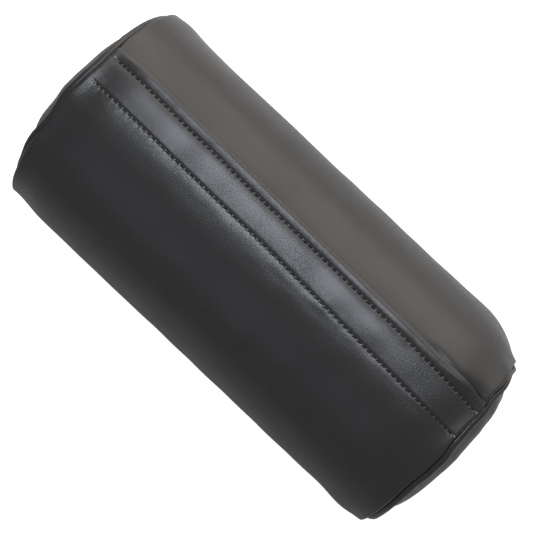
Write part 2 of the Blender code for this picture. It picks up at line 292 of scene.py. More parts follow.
def fill_cover():
    """The filled skin as a grid of points, and the filled end panels as rings."""
    x = np.linspace(-HALF + END_INSET, HALF - END_INSET, ALONG_COUNT)
    angle = INNER_ANGLE + np.arange(ROUND_COUNT) * 2 * np.pi / ROUND_COUNT
    slack = slack_skin(*np.meshgrid(x, angle, indexing="ij"))
    parts = [slack.reshape(-1, 3)]
    faces = [grid_faces(ALONG_COUNT, ROUND_COUNT, closed=True)]
    total = len(parts[0])
    caps = {}
    for side, rim_row in ((-1, 0), (1, ALONG_COUNT - 1)):
        middle, rings = slack_cap(side, slack[rim_row])
        rim_start = rim_row * ROUND_COUNT
        first = total
        ring_numbers = np.vstack([
            first + 1 + np.arange(rings.shape[0] * ROUND_COUNT).reshape(-1, ROUND_COUNT),
            rim_start + np.arange(ROUND_COUNT)[None],
        ])
        quads = grid_faces(len(ring_numbers), ROUND_COUNT, closed=True, flip=side < 0)
        faces.append(ring_numbers.ravel()[quads])
        inner = ring_numbers[0]
        fan = np.stack([np.full(ROUND_COUNT, first), inner, np.roll(inner, -1)], -1)
        faces.append(fan[:, ::-1] if side < 0 else fan)
        parts += [middle[None], rings.reshape(-1, 3)]
        caps[side] = (first, ring_numbers[:-1])
        total += 1 + rings.shape[0] * ROUND_COUNT
    start = np.vstack(parts)
    everything = [f for part in faces for f in part.tolist()]
    moved = simulate(start, everything) - start
    far = np.linalg.norm(moved, axis=1, keepdims=True)
    moved *= np.minimum(1, MOST_MOVE / np.maximum(far, 1e-9))
    tube = moved[: ALONG_COUNT * ROUND_COUNT].reshape(ALONG_COUNT, ROUND_COUNT, 3)
    filled = slack + tube
    middle_rows = filled[ALONG_COUNT // 3 : -ALONG_COUNT // 3]
    size = np.hypot(middle_rows[..., 1], middle_rows[..., 2] - AXIS_Z)
    side_radius = float(np.median(size))
    print(f"the filled skin is {side_radius:.4f} in radius, moved at most {far.max():.4f}")
    near_end = 1 - smooth((HALF - np.abs(x)) / 0.03)[:, None]
    gap = (RADIUS - side_radius) * (1 - near_end)
    radial = np.hypot(filled[..., 1], filled[..., 2] - AXIS_Z)
    grow = (radial + gap) / radial
    filled[..., 1] *= grow
    filled[..., 2] = np.maximum(AXIS_Z + (filled[..., 2] - AXIS_Z) * grow, 0.0)
    domes = {}
    for side, (first, numbers) in caps.items():
        domes[side] = (start[first] + moved[first], start[numbers] + moved[numbers])
    return x, angle, filled, domes


def simulate(start, faces):
    """The points after 20 frames of Cloth under pressure, with the seams and the resting flat held."""
    thing = add_mesh("filling_cover", start, faces)
    held = thing.vertex_groups.new(name="held")
    tube_count = ALONG_COUNT * ROUND_COUNT
    number = np.arange(tube_count).reshape(ALONG_COUNT, ROUND_COUNT)
    fixed = set(number[[0, -1]].ravel()) | set(np.flatnonzero(start[:tube_count, 2] < 0.0008))
    held.add([int(k) for k in fixed], 1.0, "REPLACE")
    cloth = thing.modifiers.new("cloth", "CLOTH")
    stiff = {"tension_stiffness": 25, "compression_stiffness": 25, "shear_stiffness": 8,
             "bending_stiffness": 30}
    air = {"air_damping": 10, "use_pressure": True, "uniform_pressure_force": 8}
    settings = {"quality": 6, "mass": 0.25, **stiff, **air, "vertex_group_mass": "held"}
    for label, value in settings.items():
        setattr(cloth.settings, label, value)
    cloth.settings.effector_weights.gravity = 0
    cloth.collision_settings.use_collision = False
    cloth.point_cache.frame_start = 1
    cloth.point_cache.frame_end = FRAMES
    for frame_number in range(1, FRAMES + 1):
        bpy.context.scene.frame_set(frame_number)
    points = read_points(thing)
    bpy.data.objects.remove(thing, do_unlink=True)
    bpy.context.scene.frame_set(1)
    return points


FILLED_X, FILLED_ANGLE, FILLED_SKIN, FILLED_DOMES = fill_cover()

# %% [markdown]
# ## Read the filled skin anywhere
# The simulated grid is coarse, so the fine pieces read it with a smooth cubic through four
# neighbours each way, which keeps the creases soft.  Two corrections follow: the skin has to
# pass through the crease exactly where the flap's hinge is, or the opened flap would tear away, and
# leather is never even, so a slow unevenness of a fraction of a millimetre is added.

# %% The skin as a function
uneven = waves(5, 26, 0.11, 0.024)
UNEVEN = 0.00012                # the height of the leather's slow unevenness


def cubic_weights(share):
    """Catmull-Rom weights of four neighbours for a place between the middle two."""
    s = share
    return np.stack([
        (-s + 2 * s**2 - s**3) / 2,
        (2 - 5 * s**2 + 3 * s**3) / 2,
        (s + 4 * s**2 - 3 * s**3) / 2,
        (-(s**2) + s**3) / 2,
    ])


def read_grid(grid, along, around):
    """The grid's points at fractional row and column numbers.

    The columns go round, and the rows are held at the ends.
    """
    rows, columns = grid.shape[:2]
    r = np.clip(np.floor(along).astype(int), 0, rows - 2)
    padded = np.concatenate([2 * grid[:1] - grid[1:2], grid, 2 * grid[-1:] - grid[-2:-1]])
    w = cubic_weights(along - r)
    lines = sum(w[k][:, None, None] * padded[r + k] for k in range(4))
    c = np.floor(around).astype(int)
    v = cubic_weights(around - c)
    return sum(v[k][None, :, None] * lines[:, (c + k - 1) % columns] for k in range(4))


def skin(x, angle):
    """The filled skin's points for lines at x and at angle, as a grid."""
    step = FILLED_X[1] - FILLED_X[0]
    along = (x - FILLED_X[0]) / step
    around = ((angle - FILLED_ANGLE[0]) % (2 * np.pi)) / (2 * np.pi) * ROUND_COUNT
    points = read_grid(FILLED_SKIN, along, around)
    crease_around = ((np.array([CREASE]) - FILLED_ANGLE[0]) % (2 * np.pi)) / (2 * np.pi) * ROUND_COUNT
    miss = HINGE[None, None, 1:] - read_grid(FILLED_SKIN, along, crease_around)[..., 1:]
    free = smooth((HALF - np.abs(x) - 0.008) / 0.05)[:, None, None]
    near = bell(turn_between(angle, CREASE), math.radians(9))[None, :, None]
    points[..., 1:] += free * near * miss
    radial = points[..., 1:] - np.array([0, AXIS_Z])
    radial /= np.linalg.norm(radial, axis=-1, keepdims=True)
    amount = uneven(*np.meshgrid(x, turn_between(angle, 0) * RADIUS, indexing="ij"))
    amount *= UNEVEN * (1 - bell(turn_between(angle, CREASE), math.radians(4)))[None, :]
    amount *= smooth(points[..., 2] / 0.01)
    points[..., 1:] += radial * amount[..., None]
    return points


def normals_of(points, outward_from=None):
    """Unit normals of a grid of points, from the cross product of its two directions."""
    across = np.cross(np.gradient(points, axis=0), np.gradient(points, axis=1))
    across /= np.maximum(np.linalg.norm(across, axis=-1, keepdims=True), 1e-12)
    centre = points.copy()
    centre[..., 1:] = (0, AXIS_Z)
    if outward_from is not None:
        centre = np.broadcast_to(outward_from, points.shape)
    flip = np.sign((across * (points - centre)).sum(-1).mean())
    return across * flip


def skin_normals(x, angle, points=None):
    """Outward unit normals of the filled skin, whatever the order of the angles.

    Each is the cross product of the way along the roll and the way round it, the latter from the
    skin a third of a degree to both sides.
    """
    points = skin(x, angle) if points is None else points
    little = 0.006              # radians
    round_way = skin(x, angle + little) - skin(x, angle - little)
    along_way = np.gradient(points, axis=0)
    across = np.cross(along_way, round_way)
    across /= np.maximum(np.linalg.norm(across, axis=-1, keepdims=True), 1e-12)
    outward = points - np.stack([points[..., 0], points[..., 0] * 0, points[..., 0] * 0 + AXIS_Z], -1)
    return across * np.sign((across * outward).sum(-1, keepdims=True))


sample = skin(np.array([0.0]), np.radians([0.0, 90.0, -90.0]))
print("skin at top and sides:", np.round(sample, 4).tolist())

# %% [markdown]
# ## From grids to cloth
# Cloth has a thickness and two sides.  `shell` takes the grid of its outer side and the grid of its
# inner side and closes them round the rim, with the rim's edges marked sharp so that the shading
# doesn't bleed round them.  Every piece also gets a UV map in metres along the cloth, which
# the grain and the weave follow even where the cloth bends.

# %% Closed cloth pieces


def finish_mesh(thing, uv, sharp=None):
    """Shades a mesh smooth, marks sharp edges by a test on their points, and writes its UV map."""
    mesh = thing.data
    mesh.shade_smooth()
    layer = mesh.uv_layers.new(name="cloth")
    corner = np.empty(len(mesh.loops), int)
    mesh.loops.foreach_get("vertex_index", corner)
    layer.data.foreach_set("uv", uv[corner].astype(np.float32).ravel())
    if sharp is not None:
        ends = np.empty(len(mesh.edges) * 2, int)
        mesh.edges.foreach_get("vertices", ends)
        ends = ends.reshape(-1, 2)
        marks = sharp[ends[:, 0]] & sharp[ends[:, 1]]
        attribute = mesh.attributes.new("sharp_edge", "BOOLEAN", "EDGE")
        attribute.data.foreach_set("value", marks)
    mesh.update()
    return thing


def shell(name, outer, inner, uv, look, closed=False):
    """A closed piece of cloth between two grids of points, rows along it and columns across it.

    closed joins the last column to the first, as on a ring.
    """
    rows, columns = outer.shape[:2]
    count = rows * columns
    points = np.concatenate([outer.reshape(-1, 3), inner.reshape(-1, 3)])
    faces = [grid_faces(rows, columns, closed, flip=True), grid_faces(rows, columns, closed) + count]
    number = np.arange(count).reshape(rows, columns)
    borders = [number[0], number[-1][::-1]]
    if not closed:
        borders += [number[::-1, 0], number[:, -1]]
    for border in borders:
        ring = np.append(border, border[0]) if closed else border
        a, b = ring[:-1], ring[1:]
        faces.append(np.stack([a, b, b + count, a + count], -1))
    thing = add_mesh(name, points, np.concatenate(faces))
    rim = np.zeros((rows, columns), bool)
    rim[[0, -1]] = True
    if not closed:
        rim[:, [0, -1]] = True
    finish_mesh(thing, np.concatenate([uv.reshape(-1, 2)] * 2), np.concatenate([rim.ravel()] * 2))
    return dress(thing, points, np.concatenate(faces), look)


def signed_volume(points, quads):
    """The volume in a closed mesh of quads: a sixth of the sum of a . (b x c) over its triangles."""
    a, b, c, d = (points[quads[:, k]] for k in range(4))
    return float((a * np.cross(b, c)).sum() + (a * np.cross(c, d)).sum()) / 6


def dress(thing, points, quads, look):
    """Gives a closed piece its material, turns its faces outwards and prints its volume."""
    thing.data.materials.append(look)
    volume = signed_volume(points, quads)
    if volume < 0:
        thing.data.flip_normals()
    print(f"{thing.name}: {len(points)} points, volume {abs(volume) * 1e6:.1f} cm3")
    return thing


def grid_map(along, across):
    """A grid's UV map in metres, from its rows' and its columns' places along the cloth."""
    return np.stack(np.meshgrid(along, across, indexing="ij"), -1)


def facing_out(points, quads, faces):
    """The faces, or each of them turned round where the volume inside their quads is negative."""
    return [f[::-1] for f in faces] if signed_volume(points, quads) < 0 else faces


# %% [markdown]
# ## Leatherette
# Leatherette is a PVC or polyurethane skin on a knitted back, embossed with a grain of small
# pebbles.  Its colour is a near black, but most of what is seen is its soft sheen.  The grain is a
# node group, because the cover, the flap and the ends all use it: a Voronoi cell is one
# pebble, a fine noise roughens it, and a slow noise fades the grain in and out.  The group puts
# out a height for the Bump node and a mask that darkens the valleys and dulls them.

# %% The grain group


def new_group(name, inputs, outputs):
    """An empty shader node group with (name, value) float inputs, a Vector input and named outputs."""
    group = bpy.data.node_groups.new(name, "ShaderNodeTree")
    group.interface.new_socket("Vector", in_out="INPUT", socket_type="NodeSocketVector")
    for label, value in inputs:
        socket = group.interface.new_socket(label, in_out="INPUT", socket_type="NodeSocketFloat")
        socket.default_value = value
    for label in outputs:
        group.interface.new_socket(label, in_out="OUTPUT", socket_type="NodeSocketFloat")
    return group, group.nodes.new("NodeGroupInput"), group.nodes.new("NodeGroupOutput")


def math_node(tree, operation, a, b=None, clamp=False):
    """A Math node on two values, each a socket or a number; returns its output."""
    node = tree.nodes.new("ShaderNodeMath")
    node.operation = operation
    node.use_clamp = clamp
    for socket, value in zip(node.inputs, (a, b)):
        if value is None:
            continue
        if isinstance(value, (int, float)):
            socket.default_value = value
        else:
            tree.links.new(value, socket)
    return node.outputs[0]


def texture(tree, kind, vector, scale, **settings):
    """A texture node on a vector; settings set its inputs by name or its properties."""
    node = tree.nodes.new(kind)
    tree.links.new(vector, node.inputs["Vector"])
    if isinstance(scale, (int, float)):
        node.inputs["Scale"].default_value = scale
    else:
        tree.links.new(scale, node.inputs["Scale"])
    for label, value in settings.items():
        if label in node.inputs:
            node.inputs[label].default_value = value
        else:
            setattr(node, label, value)
    return node


def map_range(tree, value, low, high, to_low=0.0, to_high=1.0):
    """A smooth step of a value from low to high, as to_low to to_high."""
    node = tree.nodes.new("ShaderNodeMapRange")
    node.interpolation_type = "SMOOTHSTEP"
    tree.links.new(value, node.inputs["Value"])
    ends = {"From Min": low, "From Max": high, "To Min": to_low, "To Max": to_high}
    for label, number in ends.items():
        node.inputs[label].default_value = number
    return node.outputs["Result"]


def make_grain_group():
    """Height is pebbles x patch + fine noise - creases; Valley is pebble distance x patch + creases."""
    given_values = [("Pebbles", 1150.0), ("Creases", 1.0)]
    tree, given, out = new_group("leather_grain", given_values, ["Height", "Valley"])
    vector = given.outputs["Vector"]
    pebble = texture(tree, "ShaderNodeTexVoronoi", vector, given.outputs["Pebbles"],
                     feature="SMOOTH_F1", voronoi_dimensions="2D", Smoothness=0.6, Randomness=0.95)
    fine = texture(tree, "ShaderNodeTexNoise", vector, 5200.0, noise_dimensions="2D", Detail=1.0)
    slow = texture(tree, "ShaderNodeTexNoise", vector, 16.0, noise_dimensions="2D", Detail=2.0)
    crease = texture(tree, "ShaderNodeTexVoronoi", vector, 210.0, feature="DISTANCE_TO_EDGE",
                     voronoi_dimensions="2D", Randomness=1.0)
    patch = map_range(tree, slow.outputs["Fac"], 0.35, 0.65, 0.45, 1.0)
    pebbles = math_node(tree, "SUBTRACT", 1.0, pebble.outputs["Distance"])
    pebbles = math_node(tree, "MULTIPLY", pebbles, patch)
    line = map_range(tree, crease.outputs["Distance"], 0.0, 0.10)
    few = map_range(tree, slow.outputs["Fac"], 0.48, 0.62)
    cut = math_node(tree, "SUBTRACT", 1.0, line)
    cut = math_node(tree, "MULTIPLY", cut, few)
    cut = math_node(tree, "MULTIPLY", cut, given.outputs["Creases"])
    rough = math_node(tree, "MULTIPLY", fine.outputs["Fac"], 0.35)
    height = math_node(tree, "ADD", pebbles, rough)
    height = math_node(tree, "SUBTRACT", height, math_node(tree, "MULTIPLY", cut, 0.18))
    tree.links.new(height, out.inputs["Height"])
    valley = math_node(tree, "MULTIPLY", pebble.outputs["Distance"], patch)
    cut = math_node(tree, "MULTIPLY", cut, 0.4)
    tree.links.new(math_node(tree, "ADD", valley, cut, clamp=True), out.inputs["Valley"])
    return tree


GRAIN = make_grain_group()

# %% The leatherette


def start_material(name, roughness):
    """A material with its Principled shader and a UV Map node that reads the cloth map."""
    made = bpy.data.materials.new(name)
    made.use_nodes = True
    tree = made.node_tree
    shader = tree.nodes["Principled BSDF"]
    shader.inputs["Roughness"].default_value = roughness
    source = tree.nodes.new("ShaderNodeUVMap")
    source.uv_map = "cloth"
    return made, tree, shader, source.outputs["UV"]


def mix_colours(tree, factor, low, high):
    """A colour that goes from low to high with a mask."""
    node = tree.nodes.new("ShaderNodeMix")
    node.data_type = "RGBA"
    tree.links.new(factor, node.inputs["Factor"])
    node.inputs["A"].default_value = (*low, 1)
    node.inputs["B"].default_value = (*high, 1)
    return node.outputs["Result"]


def bump(tree, shader, height, distance):
    """Bends the shader's normal by a height mask, which stands for a distance in metres."""
    node = tree.nodes.new("ShaderNodeBump")
    node.inputs["Distance"].default_value = distance
    node.inputs["Strength"].default_value = 1.0
    tree.links.new(height, node.inputs["Height"])
    tree.links.new(node.outputs["Normal"], shader.inputs["Normal"])


def make_leatherette(name, dark, light, depth):
    """Near-black embossed leatherette: dark in the valleys, and duller there."""
    made, tree, shader, uv = start_material(name, 0.36)
    grain = tree.nodes.new("ShaderNodeGroup")
    grain.node_tree = GRAIN
    tree.links.new(uv, grain.inputs["Vector"])
    tree.links.new(mix_colours(tree, grain.outputs["Valley"], light, dark), shader.inputs["Base Color"])
    rough = map_range(tree, grain.outputs["Valley"], 0.0, 1.0, 0.29, 0.44)
    tree.links.new(rough, shader.inputs["Roughness"])
    bump(tree, shader, grain.outputs["Height"], depth)
    return made


GRAIN_DEPTH = 0.000052
VALLEY_BLACK = (0.010, 0.010, 0.011)
PEBBLE_BLACK = (0.017, 0.0165, 0.0168)
LEATHERETTE = make_leatherette("leatherette", VALLEY_BLACK, PEBBLE_BLACK, GRAIN_DEPTH)

# %% [markdown]
# ## The heights of the flap
# Seen across, the flap is level to the first row of stitches, steps up onto the hook-and-loop tape,
# dips at the second row and swells into a soft roll at its turned edge.  Each row presses
# a groove, each needle hole a dimple, and the cloth stands up as a small lip beside each hole.
# `flap_height` adds these up as a height above the skin, so that each can be changed by itself.

# %% The flap's relief
END_SHARE = 0.55                # how much of its height the flap keeps where it is sewn into the ends
TAPE_STEP = 0.00016             # up onto the tape's edge
TAPE_SLOPE = 0.00130            # and on to the tape's far edge
MARGIN_ROLL = 0.00150           # from the second row up to the crest of the turned edge
GAPE = 0.0018                   # the most that the folded edge lifts
pucker = waves(11, 14, 0.016, 0.006)
drift = waves(12, 8, 0.11, 0.04)


def gape(x):
    """How much the folded edge lifts near the right-hand end, where it isn't held down."""
    return bell(x - (HALF - 0.019), 0.012)


def row_arc(x, row):
    """The arc of a row of stitches at x: nobody sews quite parallel, so the first row wanders."""
    if row == INNER_ROW:
        return row + 0.0010 + 0.0008 * bell(x + 0.004, 0.050) - 0.0009 * smooth((x - 0.03) / 0.11)
    return row + 0.0003 + 0.0004 * np.sin(x / 0.045)


def flap_rise(x, arc):
    """The flap's height without its stitching: tape step, tape slope and the turned edge's roll."""
    full = END_SHARE + (1 - END_SHARE) * smooth((HALF - np.abs(x)) / 0.022)
    step = TAPE_STEP * smooth((arc - INNER_ROW - 0.0002) / 0.0022)
    slope = TAPE_SLOPE * smooth((arc - INNER_ROW) / 0.020)
    roll = MARGIN_ROLL * smooth((arc - EDGE_ROW + 0.0005) / 0.0060)
    over = -0.00055 * smooth((arc - EDGE_ROW - 0.0052) / 0.0034)
    lifted = GAPE * gape(x) * smooth((arc - EDGE_ROW) / 0.008)
    return full * (0.0001 * smooth(arc / 0.006) + step + slope + roll + over) + lifted


def row_relief(x, arc, row, deep):
    """The groove, needle holes, lips and puckers of one row of stitches.

    The groove is a narrow bell, filled up between two stitches, on a wide and shallow one.
    """
    off = arc - row_arc(x, row)
    phase = (x / STITCH) % 1.0
    between = bell(np.minimum(phase, 1 - phase) * STITCH, 0.00062)
    narrow = -deep * (1 - 0.9 * between) * bell(off, np.where(off < 0, 0.0011, 0.0008))
    groove = narrow - 0.00020 * bell(off, np.where(off < 0, 0.0032, 0.0012))
    hole = -0.00022 * between * bell(off - 0.0003, 0.00045)
    lip = 0.45 * deep * between * bell(off + 0.00075, 0.00050)
    wide = 0.00003 * pucker(x, arc * 0.25) * bell(off, 0.0040)
    return groove + hole + lip + wide


def flap_height(x, arc):
    """The flap's outer side above the skin, for x and arc grids of the same shape."""
    end = np.where(x < 0, smooth((HALF - 0.002 + x) / 0.005), smooth((HALF - x) / 0.003))
    rows = row_relief(x, arc, INNER_ROW, 0.00026) + row_relief(x, arc, EDGE_ROW, 0.00034)
    quiet = smooth(arc / 0.0035)
    wavy = 0.00007 * drift(x, arc) * smooth((arc - 0.002) / 0.006)
    return flap_rise(x, arc) + quiet * (rows * end + wavy)


print("flap height at its rows:", flap_height(np.zeros(2), np.array([INNER_ROW, EDGE_ROW])))

# %% [markdown]
# ## Turning cloth into an end seam
# At an end seam two panels meet face to face and both turn inwards.  Each panel's last stretch is
# an arc of 135 degrees that meets the other panel's arc in the middle, so a groove is left
# between two soft rolls.  `turn_in` adds those lines to a grid: a point is the last one, plus the
# arc's sine along the cloth's own direction and its versine down into the roll.

# %% Seam turns
TURN_STEPS = 7
ALLOWANCE = 0.0035


def turn_in(edge, before, normal, reach=1.0):
    """Extra rows that carry a grid's last row into the seam.

    edge is the last row of points, before the row before it, and normal the outward normals there.
    """
    way = edge - before
    way -= (way * normal).sum(-1, keepdims=True) * normal
    way /= np.linalg.norm(way, axis=-1, keepdims=True)
    rows = []
    for k in range(1, TURN_STEPS + 1):
        turn = math.radians(135) * k / TURN_STEPS
        rows.append(edge + SEAM_ROUND * reach * (math.sin(turn) * way - (1 - math.cos(turn)) * normal))
    down = -(way + normal) / math.sqrt(2)
    rows.append(rows[-1] + down * ALLOWANCE * reach)
    return rows


def with_turns(points, normal, reach_low, reach_high):
    """A grid with both its ends turned in, and the matching grid of the cloth's other side."""
    low = turn_in(points[0], points[1], normal[0], reach_low)
    high = turn_in(points[-1], points[-2], normal[-1], reach_high)
    return np.stack(low[::-1] + list(points) + high)


def offset_inside(points, thickness, outward_from=None):
    """The cloth's other side: each point moved in along the grid's own normal."""
    return points - normals_of(points, outward_from) * thickness


# %% [markdown]
# ## The body panel
# One strip of cloth goes from the crease down the -Y side, under the roll, up the +Y side and on
# below the flap, where it is called the underlap and carries the loop tape.  There it sinks under the
# tapes' thickness.  Just past the turned edge it still shows two soft dents near the right end.

# %% Body panel
UNDERLAP_REACH = 0.008
STACK = 0.0046                  # from the flap's outside down to the underlap
FOLD_STACK = 0.0025             # the same at the turned edge, where no tape lies between


def underlap_sink(x, angle):
    """How far below the skin the strip lies: the stack less the flap's rise, and a ramp past the fold.

    Near the right-hand end it is dented beside the lifted fold, at two places with a swell between.
    """
    arc = (angle - CREASE) * RADIUS
    lifted = GAPE * gape(x)
    stack = STACK - (STACK - FOLD_STACK) * smooth((arc - EDGE_ROW - 0.0035) / 0.0050)
    under = stack - flap_rise(x, np.clip(arc, 0, FLAP_WIDTH))
    under += lifted * smooth((arc - EDGE_ROW) / 0.008)
    at_fold = FOLD_STACK - flap_rise(x, np.full(x.shape, FLAP_WIDTH)) + lifted
    past = 1 - smooth((arc - FLAP_WIDTH + 0.001) / 0.014)
    full = np.where(arc > FLAP_WIDTH, at_fold * past, under)
    full *= 0.5 + 0.5 * smooth((HALF - np.abs(x)) / 0.02)
    dents = 0.0012 * bell(x - HALF + 0.040, 0.0085) * bell(arc - FLAP_WIDTH + 0.0002, 0.0026)
    dents -= 0.0003 * bell(x - HALF + 0.024, 0.0070) * bell(arc - FLAP_WIDTH - 0.0045, 0.0034)
    dents += 0.0022 * bell(x - HALF + 0.007, 0.0095) * bell(arc - FLAP_WIDTH, 0.0030)
    return full + dents


def make_body_panel():
    """The strip: lines of the skin at many angles, sunk at the underlap, with both ends turned in."""
    x = np.linspace(-HALF + END_INSET, HALF - END_INSET, 150)
    start = CREASE + 2 * np.pi
    near = start - np.radians([0, 0.25, 0.6, 1.1, 1.8])
    far = np.radians(np.arange(math.degrees(start) - 3.2, math.degrees(FOLD_ANGLE) + 14, -1.8))
    ramp = np.radians(np.arange(math.degrees(FOLD_ANGLE) + 13, math.degrees(FOLD_ANGLE) - 2, -0.9))
    under = np.linspace(ramp[-1] - 0.02, CREASE - UNDERLAP_REACH / RADIUS, 26)
    angle = np.concatenate([near, far, ramp, under])
    base = skin(x, angle)
    normal = skin_normals(x, angle, base)
    grid_x, grid_angle = np.meshgrid(x, angle, indexing="ij")
    lap = grid_angle < np.pi
    sink = np.where(lap, underlap_sink(grid_x, np.where(lap, grid_angle, 0)), 0.0)
    points = base - normal * sink[..., None]
    points[..., 2] = np.maximum(points[..., 2], 0.0)
    covered = smooth((FOLD_ANGLE + 0.03 - angle) / 0.05)[:, None] * (angle < np.pi)[:, None]
    reach = 1 - 0.85 * covered
    outer = with_turns(points, normals_of(points), reach, reach)
    inner = offset_inside(outer, CLOTH)
    inner[..., 2] = np.maximum(inner[..., 2], CLOTH * 0.9)
    outer[..., 2] = np.maximum(outer[..., 2], 0.0)
    rows = np.linspace(-HALF, HALF, outer.shape[0])
    uv = grid_map(rows + HALF, angle * RADIUS)
    made = shell("cover_body_panel", outer, inner, uv, LEATHERETTE)
    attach(made, "cover")
    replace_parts(made, "body_panel")
    return made


make_body_panel()

# %% [markdown]
# ## The flap
# The flap is the strip's free edge: a top layer, a soft fold and a facing that is turned under.
# Its two ends are sewn into the end seams, so when it opens only its middle lifts.  It is made as a
# left and a right half.

# %% Flap halves
FOLD_ROUND = 0.00115
FOLD_STEPS = 8
FACING_START = 0.003


def flap_path():
    """Arcs and drops of the flap's outer side across it, and the same for its inner side.

    Over the top the drop is 0, round the fold both follow a half circle, and the facing comes
    back two fold radii lower.
    """
    fine = [np.linspace(0, INNER_ROW - 0.003, 7)[:-1]]
    for low, high in ((INNER_ROW - 0.003, INNER_ROW + 0.003), (EDGE_ROW - 0.003, EDGE_ROW + 0.003)):
        fine.append(np.linspace(low, high, 25))
        fine.append(np.linspace(high, EDGE_ROW - 0.003, 16)[1:-1] if low < EDGE_ROW - 0.01 else [])
    middle = FLAP_WIDTH - FOLD_ROUND
    fine.append(np.linspace(EDGE_ROW + 0.003, middle, 7)[1:-1])
    top = np.concatenate(fine)
    turn = np.linspace(0, np.pi, FOLD_STEPS + 1)
    back = np.linspace(middle, FACING_START, 24)[1:]
    arc_out = np.concatenate([top, middle + FOLD_ROUND * np.sin(turn), back])
    drop_out = np.concatenate([top * 0, FOLD_ROUND * (1 - np.cos(turn)), back * 0 + 2 * FOLD_ROUND])
    small = FOLD_ROUND - CLOTH
    arc_in = np.concatenate([top, middle + small * np.sin(turn), back])
    drop_in = np.concatenate([top * 0 + CLOTH, FOLD_ROUND - small * np.cos(turn),
                              back * 0 + 2 * FOLD_ROUND - CLOTH])
    run = np.concatenate([top, middle + FOLD_ROUND * turn, middle + FOLD_ROUND * np.pi + middle - back])
    return (arc_out, drop_out), (arc_in, drop_in), run, len(top)


def flap_side_points(x, arc, drop, top_count):
    """Points of one side of the flap: the skin, plus its normal times the height less the drop."""
    angle = CREASE + arc / RADIUS
    base = skin(x, angle)
    normal = skin_normals(x, angle, base)
    grid_x, grid_arc = np.meshgrid(x, np.minimum(arc, FLAP_WIDTH - FOLD_ROUND), indexing="ij")
    height = flap_height(grid_x, grid_arc)
    calm = flap_rise(grid_x, grid_arc)
    on_top = np.arange(len(arc)) < top_count + FOLD_STEPS // 2
    height = np.where(on_top[None], height, calm)
    return base + normal * (height - drop)[..., None]


def bend_with_flap(piece):
    """Bakes a piece's placement into its points."""
    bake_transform(piece)


def make_flap_half(side):
    """One half of the flap, from the middle of the roll to an end seam."""
    x = side * np.linspace(0, HALF - END_INSET, 390)
    (arc_out, drop_out), (arc_in, drop_in), run, top_count = flap_path()
    outer = flap_side_points(x, arc_out, drop_out, top_count)
    inner = flap_side_points(x, arc_in, drop_in, top_count)
    on_top = smooth((FLAP_WIDTH - FOLD_ROUND - arc_out) / 0.002)
    on_top[top_count:] = 0
    reach = (0.12 + 0.88 * on_top)[:, None]
    radial = outer[-1] * [0, 1, 1] - [0, 0, AXIS_Z]
    radial /= np.linalg.norm(radial, axis=-1, keepdims=True)
    ends = turn_in(outer[-1], outer[-3], radial, reach)
    ends_in = [row - (outer[-1] - inner[-1]) * (1 - 0.8 * k / len(ends)) for k, row in enumerate(ends)]
    outer = np.concatenate([outer, np.stack(ends)])
    inner = np.concatenate([inner, np.stack(ends_in)])
    rows = np.append(x, x[-1] + side * np.arange(1, len(ends) + 1) * 0.0006)
    uv = grid_map(rows + HALF, run + 0.6)
    end_name = END_NAMES[side]
    made = shell(f"flap_{end_name}", outer, inner, uv, LEATHERETTE)
    bend_with_flap(made)
    return made


for side in END_NAMES:
    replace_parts(make_flap_half(side), "flap_panel")

# %% [markdown]
# ## The end panels
# Each end is a disc, cut a little larger than the hole so that the filling can push it out into
# a dome.  The rings come from the simulation.  They are drawn in so that the rim leaves room for
# the seam, and tucked in where the strip's edge stands out past them.  Small gathers run in from
# the rim.

# %% End panels
gathers = waves(21, 12, 0.020, 0.007)
CAP_SHIFT = SEAM_ROUND * 2.45   # of an end panel beyond the skin's last line, so that the turns meet
RIM_SINK = 0.0012               # how far the dome is drawn back from its rim

# How much fuller or slacker each end panel is just inside its rim, in millimetres at degrees
CAP_OUT = {
    -1: [(-180, -2.5), (-120, -3.0), (-75, -6.5), (-55, -6.5), (-34, -4.6), (-22, -3.6), (-5, -4.8),
         (4, -2.2), (16, -0.8), (28, -2.0), (42, -4.2), (60, -5.0), (120, -2.5)],
    1: [(-180, -1.8), (-120, -2.0), (-80, -2.8), (-55, -2.4), (-20, -2.2), (0, -2.2), (14, -3.4),
        (24, -4.4), (40, -5.2), (60, -4.6), (120, -1.8)],
}
# How far each end panel is tucked in behind the strip's edge, in millimetres at degrees
CAP_TUCK = {
    -1: [(-150, 0.0), (-105, 1.8), (-68, 3.4), (-52, 1.6), (-38, 0.5), (-15, 0.4), (0, 0.0), (50, 0.0),
         (85, 1.2), (140, 0.0)],
    1: [(-140, 0.0), (-98, 2.0), (-84, 2.0), (-70, 0.0), (0, 0.0), (14, 0.5), (40, 0.9), (80, 1.2),
        (140, 0.0)],
}


